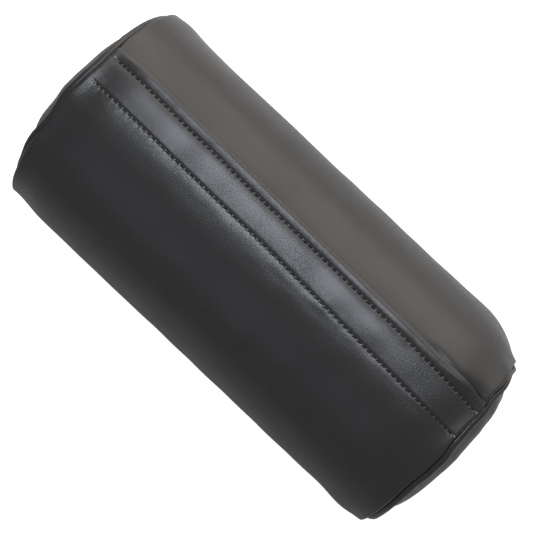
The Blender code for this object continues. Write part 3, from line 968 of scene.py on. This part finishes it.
def end_rings(side, depth=0.0):
    """An end panel's rings of points, from its middle to its rim.

    The simulated rings are read at fine steps, evened out near the middle and drawn in by the seam's
    width.  Then the dome is moved along the roll by its shift, tuck, gathers and rim.  depth moves
    it all into the roll, for the layers behind it.
    """
    middle, rings = FILLED_DOMES[side]
    row = 0 if side < 0 else -1
    around = np.arange(0, ROUND_COUNT, 0.4)
    rim = read_grid(FILLED_SKIN[[row, row]], np.array([0.0]), around)[0]
    pole = np.repeat(middle[None, None], ROUND_COUNT, 1)
    coarse = np.concatenate([pole, rings, FILLED_SKIN[row][None]])
    turn = np.concatenate([[0.012, 0.03], np.linspace(0.06, 1, 56)])
    grid = read_grid(coarse, turn * (len(coarse) - 1), around)
    inset = SEAM_ROUND * (1 + 2 * math.sin(math.radians(45))) + depth
    centre = middle[1:]
    out = grid[..., 1:] - centre
    rim_far = np.linalg.norm(rim[:, 1:] - centre, axis=-1)[None, :, None]
    far = np.linalg.norm(out, axis=-1, keepdims=True) / rim_far
    even = 1 - smooth((turn[:, None, None] - 0.10) / 0.45)
    out *= 1 - even + even * far.mean(1, keepdims=True) / far
    grid[..., :1] += even * (grid[..., :1].mean(1, keepdims=True) - grid[..., :1])
    grid[..., 1:] = centre + out * (rim_far - inset) / rim_far
    angle = np.arctan2(out[..., 0], out[..., 1])
    share = np.sin(turn * np.pi / 2)[:, None]
    fuller = side * CROWN * (1 - SLACK_CROWN) * np.sqrt(np.maximum(1 - share**2, 0))
    tuck = ring_curve(CAP_TUCK[side], angle) * smooth((share - 0.30) / 0.60)
    grid[..., 0] += fuller + side * (CAP_SHIFT - tuck - depth)
    near_rim = smooth((share - 0.5) / 0.5) * smooth((1.0 - share) / 0.06)
    grid[..., 0] += side * 0.00009 * gathers(angle * RADIUS, share * 0.02) * near_rim
    grid[..., 0] -= side * RIM_SINK * smooth((1 - share) / 0.12)
    shoulder = bell(share - 0.88, 0.13) * smooth((1 - share) / 0.08)
    grid[..., 0] += side * shoulder * ring_curve(CAP_OUT[side], angle)
    return grid


def make_end_panel(side):
    """A domed disc: its rings, the turn into the seam, and a second side a cloth's thickness in."""
    grid = end_rings(side)
    inside = np.array([0.0, 0.0, AXIS_Z])
    normal = normals_of(grid, inside)
    turned = turn_in(grid[-1], grid[-3], normal[-2])
    outer = np.concatenate([grid, np.stack(turned)])
    outer[..., 2] = np.maximum(outer[..., 2], 0.0)
    inner = offset_inside(outer, CLOTH, inside)
    name = END_NAMES[side]
    ring_uv = outer[..., 1:] + [0.3, 0.9 if side < 0 else 1.2]
    made = disc_shell(f"cover_end_{name}", outer, inner, ring_uv, LEATHERETTE)
    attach(made, "cover")
    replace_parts(made, f"end_panel_{name}")
    return made


def disc_shell(name, outer, inner, uv, look):
    """A closed disc between two stacks of rings, with a fan of triangles over each middle."""
    rows, columns = outer.shape[:2]
    count = rows * columns
    middle_out = outer[0].mean(0)
    middle_in = inner[0].mean(0)
    points = np.concatenate([outer.reshape(-1, 3), inner.reshape(-1, 3), [middle_out, middle_in]])
    quads = [grid_faces(rows, columns, True, flip=True), grid_faces(rows, columns, True) + count]
    last = (rows - 1) * columns + np.arange(columns)
    after = np.roll(last, -1)
    quads.append(np.stack([last, last + count, after + count, after], -1))
    first = np.arange(columns)
    fan_out = np.stack([np.full(columns, 2 * count), first, np.roll(first, -1)], -1)
    fan_in = np.stack([np.full(columns, 2 * count + 1), np.roll(first, -1) + count, first + count], -1)
    faces = np.concatenate(quads).tolist() + fan_out.tolist() + fan_in.tolist()
    thing = add_mesh(name, points, faces)
    rim = np.zeros(len(points), bool)
    rim[last] = rim[last + count] = True
    middle_uv = uv[0].mean(0)[None]
    finish_mesh(thing, np.concatenate([uv.reshape(-1, 2)] * 2 + [middle_uv] * 2), rim)
    return dress(thing, points, np.concatenate(quads), look)


for side in END_NAMES:
    make_end_panel(side)

# %% [markdown]
# ## Stitches
# A lockstitch shows as a short thread between two needle holes.  It dives into each hole and
# stands a little proud between them.  One stitch is a bent capsule of a few dozen faces, and
# the rows repeat it as arrays: all the points of all the stitches are worked out at once.

# %% Topstitching


def make_thread():
    """Black sewing thread: a fine twist, duller and darker than the leatherette."""
    made, tree, shader, uv = start_material("thread", 0.62)
    shader.inputs["Specular IOR Level"].default_value = 0.3
    twist = texture(tree, "ShaderNodeTexWave", uv, 700.0, wave_type="BANDS",
                    bands_direction="DIAGONAL")
    colour = mix_colours(tree, twist.outputs["Fac"], (0.003, 0.003, 0.004), (0.012, 0.012, 0.014))
    tree.links.new(colour, shader.inputs["Base Color"])
    bump(tree, shader, twist.outputs["Fac"], 0.00008)
    return made


THREAD = make_thread()
THREAD_ROUND = 0.00054
THREAD_SHIFT = -0.00030         # the thread lies on the near wall of its groove
THREAD_SUNK = 0.00080           # how far its middle is below the cloth at a needle hole
THREAD_PROUD = 0.00060          # and how much higher it is between two holes
THREAD_SLANT = 0.00022          # each stitch's ends lie this far to either side of the row
STITCH_RINGS = 9
STITCH_SIDES = 6
ROW_END = {-1: 0.0045, 1: 0.0016}  # from each end seam to a row's last stitch


def along_surface(x, arc, height):
    """Points at a height over the skin for matching x and arc values, and the skin's normals there.

    The skin is read on three lines close to each arc, because a normal needs neighbours.
    """
    order = np.argsort(x)
    middle = float(np.mean(arc))
    lines = middle + np.linspace(-0.0016, 0.0016, 5)
    strip = skin(x[order], CREASE + lines / RADIUS)
    face = skin_normals(x[order], CREASE + lines / RADIUS, strip)
    place = np.clip((arc[order] - lines[0]) / (lines[1] - lines[0]), 0, 3.999)
    k = place.astype(int)
    share = (place - k)[:, None]
    rows = np.arange(len(x))
    base = np.empty((len(x), 3))
    normal = np.empty((len(x), 3))
    base[order] = strip[rows, k] * (1 - share) + strip[rows, k + 1] * share
    normal[order] = face[rows, k] * (1 - share) + face[rows, k + 1] * share
    return base + normal * height[:, None], normal


def stitch_row(name, side, row, sink):
    """The stitches of one half of a row, as bent capsules.

    A stitch's height is a half sine to a power, which dips into both holes.  sink is a function of x
    and arc that gives the height of the cloth that they are sewn on.
    """
    share = np.linspace(0.09, 0.91, STITCH_RINGS)
    around = np.arange(STITCH_SIDES) * 2 * np.pi / STITCH_SIDES
    count = int((HALF - ROW_END[side]) / STITCH)
    along = (side * (np.arange(count)[:, None] + share[None]) * STITCH).ravel()
    arc = row_arc(along, row) + THREAD_SHIFT
    lift = np.sin(np.pi * (share - 0.06) / 0.88)
    dip = np.tile(lift**0.6, count)
    centre, normal = along_surface(along, arc, sink(along, arc) - THREAD_SUNK + THREAD_PROUD * dip)
    thick = THREAD_ROUND * np.tile(lift**0.4, count)
    across = np.cross(normal, [1.0, 0, 0])
    across /= np.linalg.norm(across, axis=-1, keepdims=True)
    slant = np.tile(np.linspace(-1, 1, STITCH_RINGS), count) * THREAD_SLANT * side
    centre = centre + across * slant[:, None]
    ring = np.cos(around)[None, :, None] * across[:, None]
    ring = ring + np.sin(around)[None, :, None] * normal[:, None]
    points = (centre[:, None] + ring * thick[:, None, None]).reshape(-1, 3)
    per = STITCH_RINGS * STITCH_SIDES
    start = np.arange(count) * per
    one = grid_faces(STITCH_RINGS, STITCH_SIDES, closed=True)
    quads = (one[None] + start[:, None, None]).reshape(-1, 4)
    first = np.arange(STITCH_SIDES)[::-1]
    caps = [(start[:, None] + first), (start[:, None] + per - STITCH_SIDES + first[::-1])]
    faces = quads.tolist() + [c for cap in caps for c in cap.tolist()]
    made = add_mesh(name, points, facing_out(points, quads, faces))
    uv = np.stack([np.repeat(along, STITCH_SIDES), np.tile(around, len(along)) * THREAD_ROUND], -1)
    finish_mesh(made, uv)
    made.data.materials.append(THREAD)
    print(f"{name}: {count} stitches")
    return made


def on_flap(x, arc):
    """The height of the cloth under the flap's stitches, a little below its outer side."""
    return flap_rise(x, arc) - 0.00010


for label, row in ROWS.items():
    for side, end in END_NAMES.items():
        row_half = stitch_row(f"topstitch_{label}_{end}", side, row, on_flap)
        bend_with_flap(row_half)
        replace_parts(row_half, f"topstitch_row_{label}")

# %% Thread ends


def thread_end(name, side, row):
    """The sewn-in end of a row: a small flattened knot, an ellipsoid with a twist of ridges.

    radius = 1 + 0.18 x sin(3 x longitude + 4 x latitude), scaled to the knot's three sizes.
    """
    latitude = np.linspace(-np.pi / 2, np.pi / 2, 9)[1:-1]
    longitude = np.arange(10) * 2 * np.pi / 10
    low, turn = np.meshgrid(latitude, longitude, indexing="ij")
    wide = (1 + 0.18 * np.sin(3 * turn + 4 * low)) * np.cos(low)
    ball = np.stack([wide * np.cos(turn), wide * np.sin(turn), np.sin(low)], -1)
    x = np.array([side * (HALF - ROW_END[side] + 0.0004)])
    arc = np.repeat(row_arc(x, row) + THREAD_SHIFT, 3)
    spread = np.repeat(x, 3) + np.array([-0.001, 0, 0.001])
    centre, normal = along_surface(spread, arc, flap_rise(spread, arc) + 0.0001)
    up = normal[1]
    across = np.cross(up, [1.0, 0, 0])
    along = np.cross(across, up)
    sizes = np.stack([along * 0.0009, across * 0.0005, up * 0.0005])
    points = centre[1] + ball.reshape(-1, 3) @ sizes
    points = np.concatenate([points, [centre[1] - sizes[2], centre[1] + sizes[2]]])
    rows, count = ball.shape[:2]
    quads = grid_faces(rows, count, closed=True)
    first = np.arange(count)
    after = np.roll(first, -1)
    last = (rows - 1) * count
    bottom = np.stack([first * 0 + rows * count, after, first], -1)
    top = np.stack([first * 0 + rows * count + 1, last + first, last + after], -1)
    faces = quads.tolist() + bottom.tolist() + top.tolist()
    made = add_mesh(name, points, facing_out(points, quads, faces))
    finish_mesh(made, points[:, :2])
    # The knot's light grey material is a painted highlight on black thread.
    made.data.materials.append(THREAD_END_PAINTED_HIGHLIGHT)
    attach(made, "cover")


# The knots use the black thread's material recoloured light grey: a painted highlight that stands in
# for the glint on each knot.
THREAD_END_PAINTED_HIGHLIGHT = THREAD.copy()
THREAD_END_PAINTED_HIGHLIGHT.name = "thread_end_painted_highlight"
for node in THREAD_END_PAINTED_HIGHLIGHT.node_tree.nodes:
    if node.type == "MIX":
        node.inputs["A"].default_value = (0.10, 0.10, 0.10, 1)
        node.inputs["B"].default_value = (0.30, 0.30, 0.29, 1)
for label, row in ROWS.items():
    for side, end in END_NAMES.items():
        thread_end(f"thread_end_{label}_{end}", side, row)

# %% [markdown]
# ## Hook-and-loop tape
# The two tapes are the closure.  The hook tape is sewn to the flap's turned-under side and the loop
# tape to the underlap, both by rows of stitches.  Each is a ribbon with a pile: the pile of the
# loops is a fluff of threads, and the hooks stand in rows.  The pile is far too fine to model, so
# a bump of small cells stands for it on a woven ribbon.  The weave is a group because the
# liner uses it too.

# %% Tape materials


def make_weave_group():
    """Over and under threads as two crossed waves, with a height and a mask of the gaps."""
    tree, given, out = new_group("woven_cloth", [("Threads", 900.0)], ["Height", "Gaps"])
    vector = given.outputs["Vector"]
    scale = given.outputs["Threads"]
    warp = texture(tree, "ShaderNodeTexWave", vector, scale, wave_type="BANDS", bands_direction="X")
    weft = texture(tree, "ShaderNodeTexWave", vector, scale, wave_type="BANDS", bands_direction="Y")
    high = math_node(tree, "MAXIMUM", warp.outputs["Fac"], weft.outputs["Fac"])
    tree.links.new(high, out.inputs["Height"])
    tree.links.new(math_node(tree, "SUBTRACT", 1.0, high), out.inputs["Gaps"])
    return tree


WEAVE = make_weave_group()


def make_woven(name, dark, light, threads, roughness, pile=0.0):
    """A woven cloth or ribbon; pile adds a fluff of small cells to its height."""
    made, tree, shader, uv = start_material(name, roughness)
    shader.inputs["Sheen Weight"].default_value = 0.25
    weave = tree.nodes.new("ShaderNodeGroup")
    weave.node_tree = WEAVE
    tree.links.new(uv, weave.inputs["Vector"])
    weave.inputs["Threads"].default_value = threads
    tree.links.new(mix_colours(tree, weave.outputs["Gaps"], light, dark), shader.inputs["Base Color"])
    fluff = texture(tree, "ShaderNodeTexNoise", uv, 2600.0, noise_dimensions="2D", Detail=2.0)
    fluff_height = math_node(tree, "MULTIPLY", fluff.outputs["Fac"], pile)
    height = math_node(tree, "ADD", weave.outputs["Height"], fluff_height)
    bump(tree, shader, height, 0.0002)
    return made


TAPE = make_woven("hook_and_loop_tape", (0.006, 0.006, 0.007), (0.028, 0.028, 0.030), 520.0, 0.85,
                  pile=2.5)
LINER = make_woven("cotton_liner", (0.52, 0.51, 0.48), (0.76, 0.75, 0.72), 700.0, 0.9)

# %% The two tapes
TAPE_ARCS = np.linspace(TAPE_START, TAPE_START + TAPE_WIDTH, 22)
HOOK_TOP = 0.00235              # from the flap's outer side down to the hook tape
LOOP_TOP = 0.00348              # and down to the loop tape
PILE = 0.00105


def ribbon(name, x, top, look):
    """A ribbon along the flap, top metres under its outer side, a pile's thickness thick."""
    angle = CREASE + TAPE_ARCS / RADIUS
    base = skin(x, angle)
    normal = skin_normals(x, angle, base)
    grid_x, grid_arc = np.meshgrid(x, TAPE_ARCS, indexing="ij")
    rise = flap_rise(grid_x, grid_arc)
    if "loop" in name:
        rise = rise - GAPE * gape(grid_x) * smooth((grid_arc - EDGE_ROW) / 0.008)
    outer = base + normal * (rise - top)[..., None]
    inner = base + normal * (rise - top - PILE)[..., None]
    uv = grid_map(x + HALF, TAPE_ARCS)
    made = shell(name, outer, inner, uv, look)
    return made


for side, end in END_NAMES.items():
    hook = ribbon(f"hook_tape_{end}", side * np.linspace(0, HALF - 0.006, 150), HOOK_TOP, TAPE)
    bend_with_flap(hook)
    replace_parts(hook, "hook_tape")

loop = ribbon("loop_tape_on_underlap", np.linspace(-HALF + 0.012, HALF - 0.012, 240), LOOP_TOP, TAPE)
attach(loop, "cover")
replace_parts(loop, "loop_tape")


def on_loop_tape(x, arc):
    """The height of the loop tape's upper side, which its stitches are sewn on."""
    return flap_rise(x, arc) - LOOP_TOP + 0.0002


for label, row in ROWS.items():
    for side, end in END_NAMES.items():
        row_half = stitch_row(f"loop_stitch_{label}_{end}", side, row, on_loop_tape)
        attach(row_half, "cover")
        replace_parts(row_half, f"loop_stitch_row_{label}")

# %% [markdown]
# ## What is inside
# Under the cover is a cotton liner, then fibre wadding, then the foam roll.  None of them is seen
# while the cover is shut, but a cut through the part should be right, and each has to stay inside
# a cover that is dented and pulled in.  So they are layers of the same skin: each one's
# two sides are the skin moved in by two depths.

# %% Liner, wadding and foam


def make_fibre(name, dark, light, cell, roughness):
    """Open fibre or foam: cells of noise in Object coordinates, so that it is the same in a cut."""
    made = bpy.data.materials.new(name)
    made.use_nodes = True
    tree = made.node_tree
    shader = tree.nodes["Principled BSDF"]
    shader.inputs["Roughness"].default_value = roughness
    shader.inputs["Sheen Weight"].default_value = 0.3
    place = tree.nodes.new("ShaderNodeTexCoord").outputs["Object"]
    cells = texture(tree, "ShaderNodeTexVoronoi", place, 1 / cell, feature="F1")
    colour = mix_colours(tree, cells.outputs["Distance"], light, dark)
    tree.links.new(colour, shader.inputs["Base Color"])
    bump(tree, shader, cells.outputs["Distance"], cell * 0.3)
    return made


WADDING = make_fibre("polyester_wadding", (0.62, 0.62, 0.60), (0.88, 0.88, 0.86), 0.004, 0.95)
FOAM = make_fibre("cream_foam", (0.55, 0.48, 0.32), (0.80, 0.74, 0.56), 0.0012, 0.95)
LAYER_ANGLES = np.linspace(CREASE, CREASE + 2 * np.pi, 145)[:-1]


def layer_ring(x, depth):
    """Closed rings of the skin moved in by a depth, and by what the underlap is sunk."""
    base = skin(x, LAYER_ANGLES)
    arc = turn_between(LAYER_ANGLES, CREASE) * RADIUS
    grid_x, grid_arc = np.meshgrid(x, arc, indexing="ij")
    under = smooth((grid_arc + 0.014) / 0.010) * (grid_arc < FLAP_WIDTH + 0.02)
    sink = underlap_sink(grid_x, CREASE + np.maximum(grid_arc, 0) / RADIUS)
    total = depth + np.maximum(sink * under, 0)
    points = base - skin_normals(x, LAYER_ANGLES, base) * total[..., None]
    points[..., 2] = np.maximum(points[..., 2], depth)
    return points


def sleeve(name, depth, thickness, reach, look):
    """A tube of one layer: depth under the skin, thickness thick, reach short of both seams."""
    x = np.linspace(-HALF + reach, HALF - reach, 62)
    outer = layer_ring(x, depth)
    inner = layer_ring(x, depth + thickness)
    uv = grid_map(x + HALF, LAYER_ANGLES * RADIUS)
    made = shell(name, outer, inner, uv, look, closed=True)
    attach(made, "cover")
    return made


def end_layer(name, side, depth, thickness, look):
    """A disc of one layer behind an end panel, its rim just inside the sleeve of the same layer."""
    outer = end_rings(side, depth)[:-2:2]
    inner = end_rings(side, depth + thickness)[:-2:2]
    made = disc_shell(name, outer, inner, outer[..., 1:], look)
    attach(made, "cover")
    return made


liner = sleeve("liner_sleeve_cotton", 0.0020, 0.0005, 0.0045, LINER)
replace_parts(liner, "liner_sleeve")
wrap = sleeve("wadding_wrapped", 0.0030, 0.0070, 0.0065, WADDING)
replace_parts(wrap, "wadding_wrap")
for side, end in END_NAMES.items():
    disc = end_layer(f"liner_{end}", side, 0.0035, 0.0005, LINER)
    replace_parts(disc, f"liner_end_{end}")
    pad = end_layer(f"wadding_{end}", side, 0.0060, 0.0070, WADDING)
    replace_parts(pad, f"wadding_end_{end}")


CORE_DEPTH = 0.0120
CORE_SHRINKS = (1.0, 0.96, 0.8, 0.5, 0.2)


def make_core():
    """The foam roll: rings of the skin moved in, and at both ends rings that shrink to the middle."""
    x = np.linspace(-HALF + 0.018, HALF - 0.018, 60)
    rings = layer_ring(x, CORE_DEPTH)
    centre = np.array([0, AXIS_Z])
    for before, shrink in zip(CORE_SHRINKS, CORE_SHRINKS[1:]):
        ends = []
        for row, side in ((0, -1), (-1, 1)):
            ring = rings[row].copy()
            ring[:, 1:] = centre + (ring[:, 1:] - centre) * (shrink / before)
            ring[:, 0] += side * (0.003 if before == 1 else 0.0005)
            ends.append(ring[None])
        rings = np.concatenate([ends[0], rings, ends[1]])
    count, around = rings.shape[:2]
    quads = grid_faces(count, around, closed=True, flip=True).tolist()
    points = rings.reshape(-1, 3)
    far_end = list(range(len(points) - around, len(points)))
    faces = quads + [list(range(around)), far_end[::-1]]
    made = add_mesh("foam_roll", points, facing_out(points, np.array(quads), faces))
    finish_mesh(made, points[:, :2])
    made.data.materials.append(FOAM)
    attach(made, "cover")
    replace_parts(made, "foam_core")


make_core()

# %% [markdown]
# ## The thread of the end seams
# The end seams are sewn inside out, so their thread lies deep in the groove.  It is a ring that
# follows the seam: a circle swept along the pulled-in and wandering edge of the filled skin.

# %% End seam threads


def seam_thread(side):
    """A tube round the roll: point = seam point + radius x (cos along the roll + sin inwards)."""
    row = 0 if side < 0 else -1
    around = np.arange(0, ROUND_COUNT, 0.25)
    edge = read_grid(FILLED_SKIN[[row, row]], np.array([0.0]), around)[0]
    inward = edge * [0, 1, 1] - [0, 0, AXIS_Z]
    inward /= -np.linalg.norm(inward, axis=-1, keepdims=True)
    on_flat = edge[:, 2] < 0.001
    middle = edge + inward * (SEAM_ROUND * 2.3) + np.array([side * 0.0021, 0, 0])
    middle[:, 2] = np.where(on_flat, np.maximum(middle[:, 2], 0.003), middle[:, 2])
    turn = np.arange(6) * np.pi / 3
    size = 0.0003
    points = (middle[:, None] + size * np.cos(turn)[None, :, None] * np.array([1.0, 0, 0])
              + size * np.sin(turn)[None, :, None] * inward[:, None])
    flat = points.reshape(-1, 3)
    quads = grid_faces(len(around) + 1, 6, closed=True) % len(flat)
    name = END_NAMES[side]
    made = add_mesh(f"seam_thread_{name}", flat, facing_out(flat, quads, quads))
    finish_mesh(made, np.stack([np.repeat(around * 0.005, 6), np.tile(turn * size, len(around))], -1))
    made.data.materials.append(THREAD)
    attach(made, "cover")
    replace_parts(made, f"end_seam_thread_{name}")


for side in END_NAMES:
    seam_thread(side)

# %% [markdown]
# ## Camera, floor and light
# The roll is seen from straight above through a long lens, turned so that it runs from the upper
# left to the lower right.  A cool softbox hangs overhead on the +Y side and a big warm one stands
# beside the roll.  The -Y side has only the pale room and a faint cool glow from the ceiling.
# The floor is paler under the +Y side, so that it throws more light up there.

# %% Stage


def add_area(name, place, target, size, power, colour):
    """An area light that faces a target and isn't seen itself."""
    lamp = bpy.data.lights.new(name, "AREA")
    lamp.shape = "RECTANGLE"
    lamp.size, lamp.size_y = size
    lamp.energy = power
    lamp.color = colour
    thing = bpy.data.objects.new(name, lamp)
    thing.location = place
    thing.rotation_euler = (Vector(target) - Vector(place)).to_track_quat("-Z", "Y").to_euler()
    thing.visible_camera = False
    bpy.context.scene.collection.objects.link(thing)
    return thing


FLOOR_REACH = 3.0
FLOOR_JOIN = 0.10               # the y where the floor's two parts meet
FLOOR_PARTS = {
    "floor": (-FLOOR_REACH, FLOOR_JOIN, 0.52),
    "floor_lit_side": (FLOOR_JOIN, FLOOR_REACH, 0.90),
}


def make_stage():
    """A pale floor that the camera sees as nearly white, as if it were lit from below.

    Its lit side is paler, so that it throws more light up at the roll.
    """
    reach = FLOOR_REACH
    for name, (low, high, pale) in FLOOR_PARTS.items():
        corners = [[-reach, low, 0], [reach, low, 0], [reach, high, 0], [-reach, high, 0]]
        floor = add_mesh(name, np.array(corners) - [0, 0, 0.0002], [[0, 1, 2, 3]])
        made = bpy.data.materials.new(f"{name}_white")
        made.use_nodes = True
        tree = made.node_tree
        shader = tree.nodes["Principled BSDF"]
        shader.inputs["Base Color"].default_value = (pale, pale * 0.985, pale * 0.96, 1)
        shader.inputs["Roughness"].default_value = 0.9
        shader.inputs["Specular IOR Level"].default_value = 0.2
        shader.inputs["Emission Color"].default_value = (1, 1, 1, 1)
        seen_directly = tree.nodes.new("ShaderNodeLightPath").outputs["Is Camera Ray"]
        glow = math_node(tree, "MULTIPLY", seen_directly, 0.90)
        tree.links.new(glow, shader.inputs["Emission Strength"])
        floor.data.materials.append(made)


def make_light():
    """A dim pale room, a cool softbox overhead, a big warm one beside the roll, and a faint glow."""
    world = bpy.data.worlds.new("room")
    bpy.context.scene.world = world
    world.use_nodes = True
    room = world.node_tree.nodes["Background"]
    room.inputs["Color"].default_value = (1.0, 0.985, 0.965, 1)
    room.inputs["Strength"].default_value = 0.39
    target = (0, 0, AXIS_Z)
    add_area("overhead_softbox", (-0.12, 0.58, 1.53), target, (0.38, 0.80), 11.9, (0.84, 0.90, 1.0))
    add_area("side_softbox", (-0.5, 1.75, 0.75), target, (2.8, 1.7), 32.0, (1.0, 0.915, 0.82))
    add_area("ceiling_glow", (-0.25, -1.2, 1.35), target, (0.9, 1.1), 1.35, (0.72, 0.75, 1.0))


CAMERA_LENS = 99.0
CAMERA_DISTANCE = 12.2 * RADIUS
CAMERA_ROLL = math.radians(43.4)


def make_camera():
    """Overhead, a little towards the right end, aimed at the roll's middle."""
    lens = bpy.data.cameras.new("camera")
    lens.lens = CAMERA_LENS
    lens.clip_start = 0.05
    lens.clip_end = 20
    camera = bpy.data.objects.new("camera", lens)
    place = Vector((0.041, 0.0, AXIS_Z + CAMERA_DISTANCE))
    back = (place - Vector((0.0, 0.0, AXIS_Z))).normalized()
    along = Vector((1, 0, 0))
    along = (along - along.dot(back) * back).normalized()
    other = back.cross(along)
    right = along * math.cos(CAMERA_ROLL) + other * math.sin(CAMERA_ROLL)
    up = back.cross(right)
    turn = Matrix((right, up, back)).transposed().to_4x4()
    turn.translation = place
    camera.matrix_world = turn
    bpy.context.scene.collection.objects.link(camera)
    bpy.context.scene.camera = camera


make_stage()
make_light()
make_camera()
bpy.context.scene.view_settings.view_transform = "Standard"
